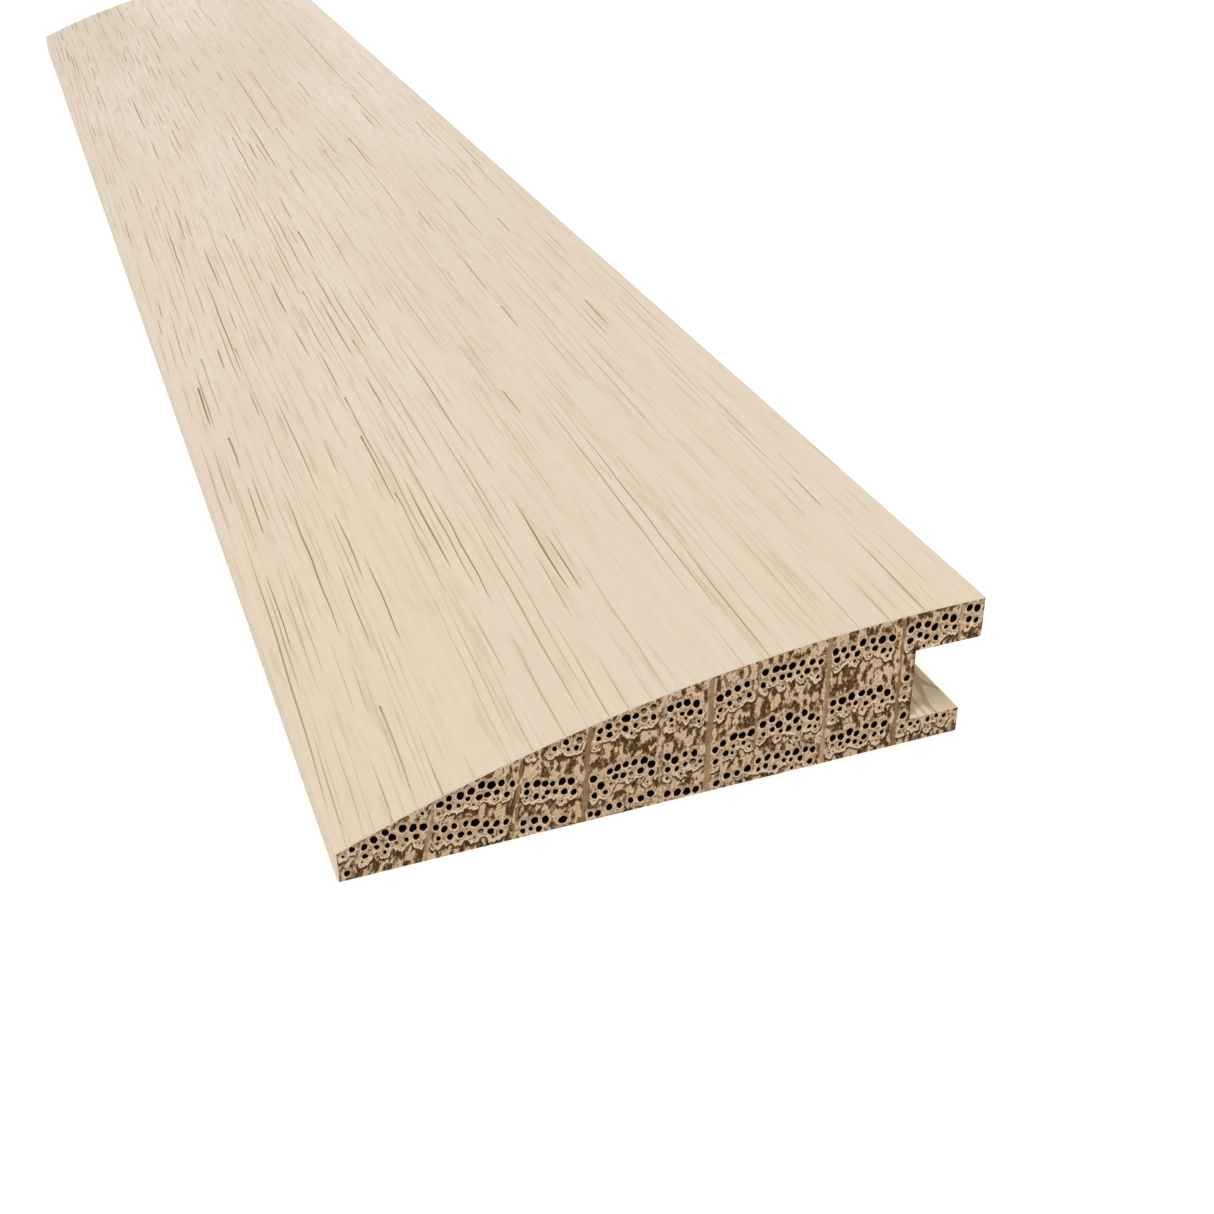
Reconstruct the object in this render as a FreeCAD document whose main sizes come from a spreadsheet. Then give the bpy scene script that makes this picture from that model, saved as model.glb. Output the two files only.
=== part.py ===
import FreeCAD, Part
import os
import Sketcher

# Flush reducer: a solid-oak floor threshold strip under a factory finish film.
# The strip ramps from a thin nose up to floor height. A groove in its tall edge takes the tongue of
# the floorboard beside it, and the lip above the groove butts against that board's face.
#
# Row frame: origin at the bottom centre, X across the strip from nose (-X) to groove (+X), Y along
# it, Z up. Sections are drawn from the moulder's datum, the foot of the nose, and each body's
# Placement moves that datum to half a width on the -X side of the origin.

DIMENSIONS = (
    ("strip_length", 304.8, "cut length, 12 in"),
    ("strip_width", 54.0, "nose to upper lip edge, 2 1/8 in"),
    ("strip_thickness", 12.7, "height at the upper lip, 1/2 in"),
    ("nose_height", 2.7, "upright face at the thin edge"),
    ("crown_flat", 1.6, "level land between the ramp and the upper lip edge"),
    ("upper_lip", 3.7, "thickness over the groove"),
    ("groove_height", 6.7, "opening for a 1/4 in tongue"),
    ("groove_depth", 6.0, "from the upper lip edge to the back of the groove"),
    ("lip_setback", 1.4, "lower lip edge behind the upper lip edge"),
    ("film_thickness", 0.12, "cured finish on the ramp, the land and the nose"),
    ("cutter_overrun", 2.0, "how far the groove cutters pass the edge"),
)

STATE_FAULTS = {"Invalid", "Error"}
VOLUME_TOLERANCE = 1e-6

# How a sketch constraint names a line's two ends, the sketch's own axes and its origin.
START, END = 1, 2
X_AXIS, Y_AXIS = -1, -2
ORIGIN = (-1, 1)

# Expressions that more than one sketch is bound to.
RAMP_RUN = "(dims.strip_width - dims.crown_flat)"
RAMP_RISE = "(dims.strip_thickness - dims.nose_height)"
RAMP_RADIUS = f"({RAMP_RUN}^2 + {RAMP_RISE}^2) / (2 * {RAMP_RISE})"
GROOVE_CEILING = "dims.strip_thickness - dims.upper_lip"
GROOVE_FLOOR = f"{GROOVE_CEILING} - dims.groove_height"
PAST_EDGE = "dims.strip_width + dims.cutter_overrun"


def make_sheet(doc):
    """Write each driving dimension beside its name and note, and alias it."""
    sheet = doc.addObject("Spreadsheet::Sheet", "dims")
    for row, (alias, value, note) in enumerate(DIMENSIONS, start=1):
        sheet.set(f"A{row}", alias)
        sheet.set(f"B{row}", str(value))
        sheet.set(f"C{row}", note)
        sheet.setAlias(f"B{row}", alias)
    doc.recompute()
    return sheet


def make_body(doc, label):
    """Start a body whose sketches are drawn from the foot of the nose."""
    body = doc.addObject("PartDesign::Body", label)
    body.Label = label
    body.setExpression("Placement.Base.x", "-dims.strip_width / 2")
    return body


def add_sketch(body, name):
    """Add an empty sketch on the body's own cross-section plane."""
    planes = [item for item in body.Origin.OriginFeatures if item.Role == "XZ_Plane"]
    sketch = body.newObject("Sketcher::SketchObject", name)
    sketch.AttachmentSupport = (planes[0], [""])
    sketch.MapMode = "FlatFace"
    return sketch


def bind(sketch, kind, targets, name, expression):
    """Add one dimensional constraint and tie it to the sheet."""
    value = float(sketch.evalExpression(expression))
    index = sketch.addConstraint(Sketcher.Constraint(kind, *targets, value))
    sketch.renameConstraint(index, name)
    sketch.setExpression(f"Constraints.{name}", expression)


def draw_section(sketch, under_film):
    """Draw the strip's outer section without the groove, either under the film or over it.

    The film covers the show faces: the nose, the ramp and the land. The ramp is one arc, tangent
    to the land.
    """
    def size(expression):
        return float(sketch.evalExpression(expression))

    less_film = " - dims.film_thickness" if under_film else ""
    height = "dims.strip_thickness" + less_film
    ramp_radius = RAMP_RADIUS + less_film
    left = size("dims.film_thickness") if under_film else 0.0
    right = size("dims.strip_width")
    top = size(height)
    radius = size(ramp_radius)
    crown = size(RAMP_RUN)
    nose_top = top - radius + (radius ** 2 - (crown - left) ** 2) ** 0.5

    def point(x, z):
        return FreeCAD.Vector(x, z, 0)

    ramp_middle_x = (left + crown) / 2
    ramp_middle_z = top - radius + (radius ** 2 - (crown - ramp_middle_x) ** 2) ** 0.5
    bottom, edge, land, ramp, nose = sketch.addGeometry([
        Part.LineSegment(point(left, 0), point(right, 0)),
        Part.LineSegment(point(right, 0), point(right, top)),
        Part.LineSegment(point(right, top), point(crown, top)),
        Part.Arc(point(crown, top), point(ramp_middle_x, ramp_middle_z), point(left, nose_top)),
        Part.LineSegment(point(left, nose_top), point(left, 0)),
    ])
    for before, after in ((bottom, edge), (edge, land), (ramp, nose), (nose, bottom)):
        sketch.addConstraint(Sketcher.Constraint("Coincident", before, END, after, START))
    sketch.addConstraint(Sketcher.Constraint("Tangent", land, END, ramp, START))
    sketch.addConstraint(Sketcher.Constraint("Horizontal", bottom))
    sketch.addConstraint(Sketcher.Constraint("Horizontal", land))
    sketch.addConstraint(Sketcher.Constraint("Vertical", edge))
    sketch.addConstraint(Sketcher.Constraint("Vertical", nose))
    sketch.addConstraint(Sketcher.Constraint("PointOnObject", bottom, START, X_AXIS))
    if under_film:
        bind(sketch, "DistanceX", (*ORIGIN, bottom, START), "nose_inset", "dims.film_thickness")
    else:
        sketch.addConstraint(Sketcher.Constraint("PointOnObject", bottom, START, Y_AXIS))
    bind(sketch, "DistanceX", (*ORIGIN, bottom, END), "width", "dims.strip_width")
    bind(sketch, "DistanceY", (*ORIGIN, edge, END), "height", height)
    bind(sketch, "DistanceX", (land, END, land, START), "land", "dims.crown_flat")
    bind(sketch, "Radius", (ramp,), "ramp_radius", ramp_radius)


def draw_rectangle(sketch, left, right, floor, ceiling):
    """Draw a rectangle between four expressions; a floor of "0" lies on the datum."""
    x0, x1, z0, z1 = (float(sketch.evalExpression(side)) for side in (left, right, floor, ceiling))
    corners = [FreeCAD.Vector(x, z, 0) for x, z in ((x0, z0), (x1, z0), (x1, z1), (x0, z1))]
    sides = sketch.addGeometry([
        Part.LineSegment(corners[i], corners[(i + 1) % 4]) for i in range(4)
    ])
    for i in range(4):
        sketch.addConstraint(
            Sketcher.Constraint("Coincident", sides[i], END, sides[(i + 1) % 4], START))
        direction = ("Horizontal", "Vertical")[i % 2]
        sketch.addConstraint(Sketcher.Constraint(direction, sides[i]))
    low, high = (sides[0], START), (sides[2], START)
    bind(sketch, "DistanceX", (*ORIGIN, *low), "left", left)
    bind(sketch, "DistanceX", (*ORIGIN, *high), "right", right)
    bind(sketch, "DistanceY", (*ORIGIN, *high), "ceiling", ceiling)
    if z0 == 0:
        sketch.addConstraint(Sketcher.Constraint("PointOnObject", *low, X_AXIS))
    else:
        bind(sketch, "DistanceY", (*ORIGIN, *low), "floor", floor)


def extrude(body, kind, name, sketch):
    """Pad or pocket a section over the whole strip, evenly to both sides of the middle."""
    feature = body.newObject(f"PartDesign::{kind}", name)
    feature.Profile = sketch
    feature.SideType = "Symmetric"
    feature.setExpression("Length", "dims.strip_length")
    sketch.Visibility = False
    body.Tip = feature
    return feature


def make_oak_moulding(doc):
    """The wood: the section inside the film, then the two cuts of the grooved edge."""
    body = make_body(doc, "oak_moulding")
    blank = add_sketch(body, "oak_section")
    draw_section(blank, under_film=True)
    extrude(body, "Pad", "oak_blank", blank)

    setback = add_sketch(body, "setback_section")
    draw_rectangle(setback, "dims.strip_width - dims.lip_setback", PAST_EDGE, "0", GROOVE_CEILING)
    extrude(body, "Pocket", "lower_lip_setback", setback)

    groove = add_sketch(body, "groove_section")
    draw_rectangle(
        groove, "dims.strip_width - dims.groove_depth", PAST_EDGE, GROOVE_FLOOR, GROOVE_CEILING)
    extrude(body, "Pocket", "tongue_groove", groove)
    return body


def make_face_finish(doc):
    """The film: the full section less the section of the wood beneath it."""
    body = make_body(doc, "face_finish")
    outside = add_sketch(body, "film_outside")
    draw_section(outside, under_film=False)
    extrude(body, "Pad", "film_envelope", outside)

    inside = add_sketch(body, "film_inside")
    draw_section(inside, under_film=True)
    extrude(body, "Pocket", "film_hollow", inside)
    return body


def check_document(doc, bodies):
    """Stop if an object failed, a sketch doesn't solve, or a body isn't one sound solid."""
    for item in doc.Objects:
        if STATE_FAULTS & set(item.State):
            raise RuntimeError(f"{item.Name} failed: {item.State}")
        if item.TypeId == "Sketcher::SketchObject" and item.solve() != 0:
            raise RuntimeError(f"{item.Name} doesn't solve")
    for body in bodies:
        if body.Shape.isNull() or not body.Shape.isValid():
            raise RuntimeError(f"{body.Label} has no valid shape")
        if len(body.Shape.Solids) != 1:
            raise RuntimeError(f"{body.Label} has {len(body.Shape.Solids)} solids")


def check_volumes(doc, oak, film):
    """Compare the two pieces with the section's area worked out by hand."""
    size = {alias: float(doc.dims.get(alias)) for alias, _, _ in DIMENSIONS}
    envelope = doc.film_envelope.Shape.Volume
    cut_area = (size["groove_height"] * size["groove_depth"]
                + size["lip_setback"] * (size["strip_thickness"] - size["upper_lip"]
                                         - size["groove_height"]))
    expected = envelope - cut_area * size["strip_length"]
    found = oak.Shape.Volume + film.Shape.Volume
    if abs(found - expected) > VOLUME_TOLERANCE * expected:
        raise RuntimeError(f"volume {found:.1f} mm3, expected {expected:.1f} mm3")
    if oak.Shape.common(film.Shape).Volume > VOLUME_TOLERANCE * expected:
        raise RuntimeError("the film and the wood overlap")


def main():
    doc = FreeCAD.newDocument("threshold_strip")
    make_sheet(doc)
    oak = make_oak_moulding(doc)
    film = make_face_finish(doc)
    doc.recompute()
    check_document(doc, (oak, film))
    check_volumes(doc, oak, film)
    os.makedirs("parts", exist_ok=True)
    for body in (oak, film):
        body.Shape.exportStep(f"parts/{body.Label}.step")
        box = body.Shape.BoundBox
        print(f"{body.Label}: {body.Shape.Volume:.1f} mm3, "
              f"X {box.XMin:.2f}..{box.XMax:.2f}, Y {box.YMin:.2f}..{box.YMax:.2f}, "
              f"Z {box.ZMin:.2f}..{box.ZMax:.2f}")


main()
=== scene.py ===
import math
import random
from collections import namedtuple

import bmesh
import bpy
from mathutils import Euler, Matrix, Vector, kdtree, noise
from mathutils.geometry import delaunay_2d_cdt


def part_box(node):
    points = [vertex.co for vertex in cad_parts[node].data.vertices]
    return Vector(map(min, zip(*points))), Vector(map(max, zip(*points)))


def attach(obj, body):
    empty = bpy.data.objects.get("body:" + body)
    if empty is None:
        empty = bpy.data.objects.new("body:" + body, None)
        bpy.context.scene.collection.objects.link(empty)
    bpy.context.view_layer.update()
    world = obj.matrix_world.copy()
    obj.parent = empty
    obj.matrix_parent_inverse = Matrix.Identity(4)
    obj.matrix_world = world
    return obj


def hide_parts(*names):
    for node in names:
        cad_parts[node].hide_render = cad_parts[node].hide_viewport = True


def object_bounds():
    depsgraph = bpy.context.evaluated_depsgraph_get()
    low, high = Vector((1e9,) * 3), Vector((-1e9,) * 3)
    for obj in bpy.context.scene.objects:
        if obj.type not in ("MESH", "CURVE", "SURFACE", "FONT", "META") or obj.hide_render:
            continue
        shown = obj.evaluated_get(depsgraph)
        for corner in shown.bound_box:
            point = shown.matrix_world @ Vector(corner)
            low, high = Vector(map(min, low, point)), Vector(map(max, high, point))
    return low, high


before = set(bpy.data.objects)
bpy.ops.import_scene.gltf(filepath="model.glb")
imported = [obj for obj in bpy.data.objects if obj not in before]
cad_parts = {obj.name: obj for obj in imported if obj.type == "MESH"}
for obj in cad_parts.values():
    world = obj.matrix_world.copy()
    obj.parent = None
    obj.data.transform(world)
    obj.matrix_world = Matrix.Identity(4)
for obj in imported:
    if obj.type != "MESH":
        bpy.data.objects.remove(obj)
cad_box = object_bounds()

# Lengths in this script are in millimetres unless a name says otherwise. Pieces are turned into
# metres as they are built. X runs across the strip from nose to groove, Y along it, Z up.
MM = 0.001
SAME_PLACE = 1e-3


# ---------------- the section, from the frame

def near_end_points(node):
    """The (x, z) of the vertices of a CAD node's near end."""
    low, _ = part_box(node)
    return [(v.co.x / MM, v.co.z / MM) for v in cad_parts[node].data.vertices
            if abs(v.co.y - low.y) < SAME_PLACE * MM]


def close(a, b):
    """True if two lengths agree as far as the frame's own rounding allows."""
    return abs(a - b) < SAME_PLACE


class Section:
    """The strip's section: the film's outside, the wood inside it, and the groove."""

    def __init__(self):
        film_low, film_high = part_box("face_finish")
        oak_low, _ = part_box("oak_moulding")
        self.left = film_low.x / MM
        self.right = film_high.x / MM
        self.top = film_high.z / MM
        self.near = film_low.y / MM
        self.far = film_high.y / MM
        self.film = (oak_low.x - film_low.x) / MM
        film = near_end_points("face_finish")
        oak = near_end_points("oak_moulding")
        self.nose_top = max(z for x, z in film if close(x, self.left))
        self.crown = min(x for x, z in film if close(z, self.top))
        self.ceiling = min(z for x, z in oak if close(x, self.right))
        self.lip = max(x for x, z in oak if close(z, 0))
        self.floor = max(z for x, z in oak if close(x, self.lip))
        self.back = min(x for x, z in oak if close(z, self.floor) and x > 0)
        run = self.crown - self.left
        rise = self.top - self.nose_top
        self.radius = (run ** 2 + rise ** 2) / (2 * rise)

    def height(self, x, inset=0.0):
        """The show surface's height at x: the ramp's arc, then the land."""
        if x >= self.crown:
            return self.top - inset
        radius = self.radius - inset
        return self.top - self.radius + math.sqrt(radius ** 2 - (self.crown - x) ** 2)

    def slope(self, x):
        """The ramp's angle at x, in radians."""
        return math.asin(max(self.crown - x, 0.0) / self.radius)


section = Section()

RAMP_STEPS = 34
LENGTH_STEPS = 64
EDGE_STEP = 1.2         # the spacing of the points on the outline's straight runs


def even(start, end, steps):
    """Values at even steps from start to end, both included."""
    return [start + (end - start) * i / steps for i in range(steps + 1)]


def show_columns(inset):
    """The x of the show surface's columns, from the nose over the ramp to the lip edge."""
    ramp = even(section.left + inset, section.crown, RAMP_STEPS)
    return ramp + [section.right]


LENGTH_ROWS = even(section.near, section.far, LENGTH_STEPS)


def oak_corners():
    """The wood's corners from the foot of the nose round to the top of the upper lip."""
    return [
        (section.left + section.film, 0.0),
        (section.lip, 0.0),
        (section.lip, section.floor),
        (section.back, section.floor),
        (section.back, section.ceiling),
        (section.right, section.ceiling),
        (section.right, section.height(section.right, section.film)),
    ]


def oak_outline():
    """The wood's outline from the foot of the nose, anticlockwise, with its corners."""
    left = section.left + section.film
    columns = show_columns(section.film)
    corners = oak_corners()
    outline = []
    for (x0, z0), (x1, z1) in zip(corners, corners[1:]):
        steps = max(1, round(math.hypot(x1 - x0, z1 - z0) / EDGE_STEP))
        outline += [(x0 + (x1 - x0) * i / steps, z0 + (z1 - z0) * i / steps) for i in range(steps)]
    outline.append(corners[-1])
    outline += [(x, section.height(x, section.film)) for x in reversed(columns[:-1])]
    nose = section.height(left, section.film)
    steps = max(1, round(nose / EDGE_STEP))
    outline += [(left, nose * (1 - i / steps)) for i in range(1, steps)]
    return outline


# ---------------- growth: rays, rings and pores

# A fan is the wood from one broad ray to the next. Its ray stands at a distance from the nose along
# the underside, and its ring lines rise by these amounts at its two sides.
Fan = namedtuple("Fan", "ray half_width rise_left rise_right")
FANS = (
    Fan(-3.0, 0.00, 4.3, 3.9),
    Fan(1.1, 0.18, 3.5, 3.0),
    Fan(6.7, 0.24, 2.8, 1.5),
    Fan(13.7, 0.20, 1.4, 0.1),
    Fan(19.4, 0.28, 0.3, 1.0),
    Fan(25.7, 0.13, 0.6, 0.2),
    Fan(29.8, 0.34, 0.2, 1.4),
    Fan(33.9, 0.16, 1.8, 1.6),
    Fan(40.1, 0.28, 2.1, 2.5),
    Fan(46.7, 0.24, 2.8, 3.0),
    Fan(52.0, 0.18, 3.4, 3.7),
    Fan(58.0, 0.00, 3.9, 3.9),
)
RING_BASES = (-7.2, -3.5, 0.0, 3.55, 8.35, 13.2)    # ring lines' heights before they rise
RING_BULGE = 0.22       # how far a ring line arches between two rays
RAY_LEAN = 0.28         # how far the rays lean across, per height, at the nose

# Rows of pores hang under each ring line, the largest pores at the top.
PoreRow = namedtuple("PoreRow", "drop smallest largest spacing open_share")
PORE_ROWS = (
    PoreRow(0.00, 0.30, 0.41, 0.76, 0.97),
    PoreRow(0.80, 0.22, 0.34, 0.76, 0.92),
    PoreRow(1.34, 0.11, 0.21, 1.40, 0.60),
)
ROW_SCATTER = 0.15      # how far a pore strays up or down from its row
RAY_CLEARANCE = 0.22    # pores start this far from a ray
PORE_GAP = 0.07         # wood left between two pores
PORE_CROWDING = 1.18    # pores may stand closer across than up the section, by this much
PORE_EDGE = 0.05        # wood left between a pore and the section's outline
PORE_SHIFTS = (0.0, -0.45, -0.9)    # a pore too near a side is set this much lower
PORE_REACH = 0.6        # beyond this, a point has no pore near it
PORE_SIDES = 14


class Pore:
    """One vessel of the wood, cut across: an uneven ring about its centre."""

    def __init__(self, x, z, radius, fill, chance):
        self.x = x
        self.z = z
        self.radius = radius
        self.fill = fill
        self.flat = chance.uniform(0.74, 0.94)
        tilt = chance.uniform(-0.55, 0.30)
        self.cos = math.cos(tilt)
        self.sin = math.sin(tilt)
        self.waves = [(count, chance.uniform(0.0, 0.07), chance.uniform(0.0, math.tau))
                      for count in (2, 3, 5)]

    def wall(self, angle):
        """The wall's distance from the centre at an angle, before the pore is flattened."""
        return self.radius * (1 + sum(size * math.sin(count * angle + start)
                                      for count, size, start in self.waves))

    def locate(self, x, z):
        """The gap from a point to the wall, negative inside, and its height in the pore."""
        dx = x - self.x
        dz = z - self.z
        u = (dx * self.cos + dz * self.sin) / self.flat
        v = dz * self.cos - dx * self.sin
        return math.hypot(u, v) - self.wall(math.atan2(v, u)), v / self.radius

    def loop(self, offset):
        """Points around the pore at an offset from its wall."""
        points = []
        for i in range(PORE_SIDES):
            angle = math.tau * i / PORE_SIDES
            reach = self.wall(angle) + offset
            u = math.cos(angle) * reach * self.flat
            v = math.sin(angle) * reach
            points.append((self.x + u * self.cos - v * self.sin, self.z + u * self.sin + v * self.cos))
        return points


class Growth:
    """The board's rays, rings and pores on one sawn end."""

    def __init__(self, seed, drift):
        self.random = random.Random(seed)
        self.seed = seed
        self.drift = drift
        self.pores = []
        for base in RING_BASES:
            for row in PORE_ROWS:
                for fan, after in zip(FANS, FANS[1:]):
                    self.plant_row(base, row, fan, after)
        self.tree = kdtree.KDTree(len(self.pores))
        for i, pore in enumerate(self.pores):
            self.tree.insert((pore.x, pore.z, 0.0), i)
        self.tree.balance()

    def lean(self, foot):
        """How far the ray at a foot leans across, per height."""
        share = max(0.0, 1 - foot / (section.right - section.left))
        return RAY_LEAN * share ** 2.5

    def foot(self, x, z):
        """Where the ray through (x, z) meets the underside, by distance from the nose."""
        across = x - section.left - self.drift
        foot = across
        for _ in range(3):
            foot = across - self.lean(foot) * z
        return foot

    def ring_shift(self, foot):
        """How far the ring lines stand above their bases at a ray's foot."""
        index = max(i for i, fan in enumerate(FANS[:-1]) if foot >= fan.ray or i == 0)
        fan, after = FANS[index], FANS[index + 1]
        share = min(1.0, max(0.0, (foot - fan.ray) / (after.ray - fan.ray)))
        rise = fan.rise_left + (fan.rise_right - fan.rise_left) * share
        return rise + RING_BULGE * math.sin(math.pi * share)

    def ring(self, x, z):
        """The ring a point is in, and how far through it: 0 at its large pores, 1 at the next's."""
        shift = self.ring_shift(self.foot(x, z))
        for index, (below, above) in enumerate(zip(RING_BASES, RING_BASES[1:])):
            if z <= above + shift:
                return index, (above + shift - z) / (above - below)
        return len(RING_BASES), 0.0

    def ray_gap(self, x, z):
        """Distance outside the nearest broad ray's side, negative inside it."""
        foot = self.foot(x, z)
        return min(abs(foot - fan.ray) - fan.half_width for fan in FANS if fan.half_width > 0)

    def fits(self, x, z, radius):
        """True if a pore there is clear of the section's sides and of the other pores."""
        if border_gap(x, z) < radius + PORE_EDGE:
            return False
        return all(math.hypot(PORE_CROWDING * (x - p.x), z - p.z) > radius + p.radius + PORE_GAP
                   for p in self.pores)

    def plant_row(self, base, row, fan, after):
        """Set one row of pores across a fan, clear of its rays."""
        foot = fan.ray + fan.half_width + RAY_CLEARANCE + self.random.uniform(0.0, 0.4)
        while foot < after.ray - after.half_width - RAY_CLEARANCE:
            radius = self.random.uniform(row.smallest, row.largest)
            scatter = self.random.uniform(-ROW_SCATTER, ROW_SCATTER)
            level = base - row.drop + self.ring_shift(foot) + scatter
            fill = 0.0 if self.random.random() < row.open_share else self.random.uniform(0.5, 1.0)
            for shift in PORE_SHIFTS:
                z = level + shift
                x = section.left + self.drift + foot + self.lean(foot) * z
                if self.fits(x, z, radius):
                    self.pores.append(Pore(x, z, radius, fill, self.random))
                    break
            foot += row.spacing * self.random.uniform(0.82, 1.25)

    def nearest_pore(self, x, z):
        """The gap to the nearest pore's wall, negative inside, with its fill and height in it."""
        best = (PORE_REACH, 0.0, 0.0)
        for _, index, _ in self.tree.find_range((x, z, 0.0), PORE_REACH + PORE_ROWS[0].largest):
            gap, up = self.pores[index].locate(x, z)
            if gap < best[0]:
                best = (gap, self.pores[index].fill, up)
        return best


def border_gap(x, z):
    """Distance from a point of the wood's section in to the nearest of its sides."""
    left = section.left + section.film
    above = (section.height(x, section.film) - z) * math.cos(section.slope(x))
    gap = min(x - left, above, z, section.right - x)
    if z <= section.floor:
        return min(gap, section.lip - x, max(section.floor - z, section.back - x))
    if z >= section.ceiling:
        return min(gap, max(z - section.ceiling, section.back - x))
    return min(gap, section.back - x)


# ---------------- flat patches with real relief

def triangulate(border, rings, lines, fill, squeeze=1.0):
    """Constrained Delaunay triangles over border, which keep every ring and line as edges.

    squeeze shortens the second direction while triangulating, so that long grain gets long
    triangles. Returns points and triangles.
    """
    points, edges = [], []
    chains = [(border, True)] + [(ring, True) for ring in rings] + [(line, False) for line in lines]
    for chain, is_closed in chains:
        first = len(points)
        points += chain
        edges += [(first + i, first + i + 1) for i in range(len(chain) - 1)]
        if is_closed:
            edges.append((first + len(chain) - 1, first))
    points += fill
    flat = [Vector((u, v * squeeze)) for u, v in points]
    found, _, triangles, sources, _, _ = delaunay_2d_cdt(flat, edges, [], 1, 1e-6, True)
    places = []
    for vertex, source in zip(found, sources):
        places.append(tuple(points[source[0]]) if source else (vertex.x, vertex.y / squeeze))
    return places, triangles


def add_object(name, data):
    """A new object, linked into the scene."""
    made = bpy.data.objects.new(name, data)
    bpy.context.scene.collection.objects.link(made)
    return made


class Shell:
    """A mesh being put together from patches whose rims meet point for point."""

    def __init__(self, layers):
        self.points = []
        self.faces = []
        self.slots = []
        self.layers = {name: [] for name in layers}

    def add(self, points, faces, flip=False, slot=0, **values):
        """Add one patch. values holds a number per point for each layer that it uses."""
        first = len(self.points)
        self.points += [Vector(p) for p in points]
        for name, column in self.layers.items():
            column += values.get(name, [0.0] * len(points))
        for face in faces:
            loop = [first + i for i in face]
            self.faces.append(loop[::-1] if flip else loop)
            self.slots.append(slot)

    def build(self, name, materials, sharp_angle):
        """Weld the patches into one closed piece, in metres.

        A layer is kept by face corner, so that patches which share a rim keep their own values.
        """
        mesh = bpy.data.meshes.new(name)
        mesh.from_pydata([p * MM for p in self.points], [], self.faces)
        for material in materials:
            mesh.materials.append(material)
        mesh.polygons.foreach_set("material_index", self.slots)
        corners = [i for face in self.faces for i in face]
        for layer, column in self.layers.items():
            attribute = mesh.attributes.new(layer, "FLOAT", "CORNER")
            attribute.data.foreach_set("value", [column[i] for i in corners])
        work = bmesh.new()
        work.from_mesh(mesh)
        bmesh.ops.remove_doubles(work, verts=work.verts, dist=SAME_PLACE * MM)
        open_edges = sum(1 for e in work.edges if len(e.link_faces) != 2)
        print(f"{name}: {len(work.verts)} points, {len(work.faces)} faces, {open_edges} open edges")
        work.to_mesh(mesh)
        work.free()
        mesh.polygons.foreach_set("use_smooth", [True] * len(mesh.polygons))
        mesh.set_sharp_from_angle(angle=sharp_angle)
        return add_object(name, mesh)


def smoothstep(low, high, value):
    """0 at low, 1 at high and smooth between, for high above or below low."""
    share = min(1.0, max(0.0, (value - low) / (high - low)))
    return share * share * (3 - 2 * share)


# ---------------- sawn ends

END_LAYERS = ("flame", "phase", "foot", "ray_gap", "pore_gap", "pore_fill", "pore_up")
PORE_DEPTH = 0.9        # pit depth by distance in from the wall
FILL_SHARE = 0.6        # how much of a pit its filling takes up
PIT_SHARE = 0.5         # a pore's innermost loop, by its radius
RIM_WIDTH = 0.11        # the raised rim around a pore
RIM_SINK = 0.01         # how far the rim lies below the cut
GROUND_STEP = 0.22      # the ground points' spacing
EDGE_SHARE = 0.4        # ground points keep this far from a side, by their spacing
GROUND_CLEARANCE = 0.05     # and this far from a pore's rim
ARRIS_CLEARANCE = 0.02      # a pore's loop is kept if it is this far from every side
GROUND_SINK = 0.035     # how far the ground lies below the cut
FLAME_SINK = 0.04       # and how much deeper its dark parts lie
RIM_FADE = 0.25         # relief dies away this near an arris
FLAME_PITCH = 1.9       # from one light flame to the next, across
FLAME_DRIFT = 0.8       # how far the flames stray, by their pitch
FLAME_BALANCE = -0.17   # less makes more of the wood dark


def flame(growth, x, z, ring, phase):
    """Light flames up and down the rays with dark wood between, about -1 to 1.

    Even stripes are bent, broken up and frayed by noise, and are darker right under the pores.
    """
    across = growth.foot(x, z)
    here = growth.seed + ring * 7.7
    drift = noise.noise(Vector((across * 0.22, z * 0.10, here)))
    stripe = math.sin(math.tau * (across / FLAME_PITCH + FLAME_DRIFT * drift))
    broad = noise.noise(Vector((across * 0.42, z * 0.13, here + 1.7)))
    ragged = noise.fractal(Vector((across * 1.3, z * 0.45, here + 3.3)), 0.8, 2.0, 3)
    under_pores = smoothstep(0.62, 0.42, phase) * smoothstep(0.20, 0.38, phase)
    return stripe + 0.80 * broad + 0.24 * ragged + FLAME_BALANCE - 0.50 * under_pores


def end_relief(growth, x, z):
    """The sawn end's depth and shading values at a point of the section."""
    gap, fill, up = growth.nearest_pore(x, z)
    ring, phase = growth.ring(x, z)
    light = flame(growth, x, z, ring, phase)
    if gap < 0:
        depth = RIM_SINK - PORE_DEPTH * gap * (1 - FILL_SHARE * fill)
    else:
        ground = GROUND_SINK + FLAME_SINK * smoothstep(0.2, -0.4, light)
        depth = RIM_SINK + (ground - RIM_SINK) * smoothstep(0.3 * RIM_WIDTH, RIM_WIDTH, gap)
        depth *= smoothstep(0.0, RIM_FADE, border_gap(x, z))
    return depth, {"flame": light, "phase": phase, "foot": growth.foot(x, z),
                   "ray_gap": growth.ray_gap(x, z), "pore_gap": gap, "pore_fill": fill,
                   "pore_up": up}


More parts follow.
